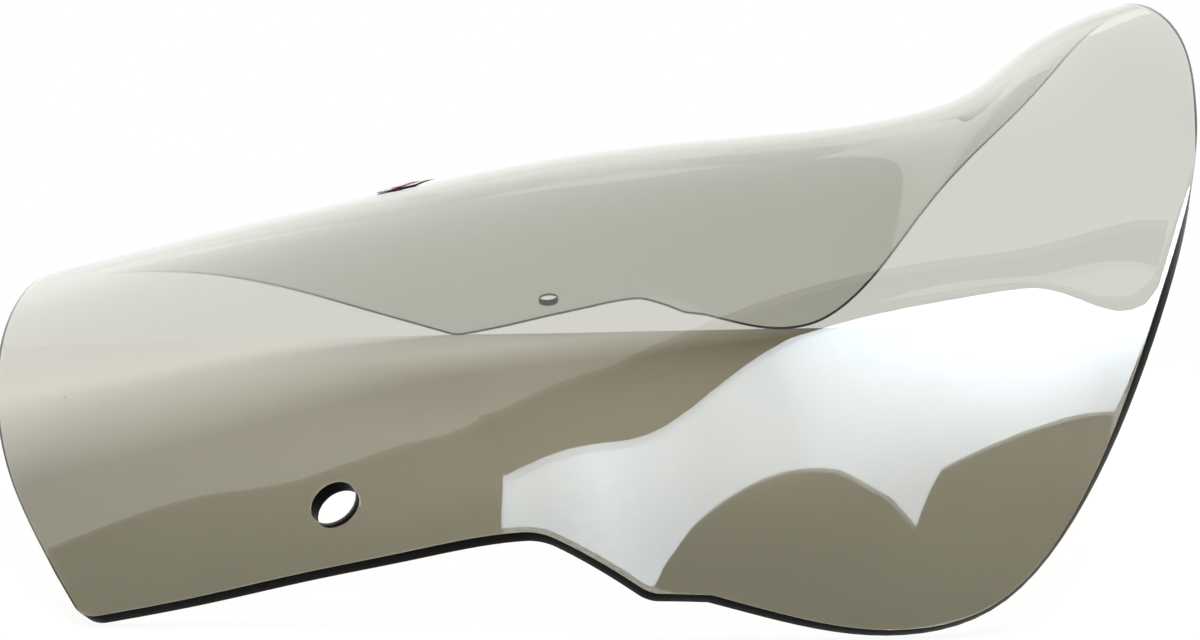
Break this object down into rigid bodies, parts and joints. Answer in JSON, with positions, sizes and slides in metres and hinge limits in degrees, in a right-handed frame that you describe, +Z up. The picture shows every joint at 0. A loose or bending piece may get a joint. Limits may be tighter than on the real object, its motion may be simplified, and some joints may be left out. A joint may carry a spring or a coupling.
{
  "type": "windshield screen",
  "caption": "Smoked, arched motorcycle windshield sheet with a flared upper end, notched sides, mounting holes and a plain label on the crown.",
  "frame": {"origin": "on the plane that the sheet lies on, under the middle of its length and width", "axes": "+X along the length toward the flared upper end, Y across the sheet, +Z up out of the crown; the mirror plane is y = 0"},
  "size_m": [0.4718, 0.4352, 0.1743],
  "materials": {
    "smoked_sheet": "polished smoked transparent plastic",
    "black_film": "gloss vinyl film",
    "red_film": "gloss vinyl film"
  },
  "bodies": {
    "root": {"screen": "smoked_sheet", "label_ground": "black_film", "label_band": "red_film"}
  },
  "joints": []
}
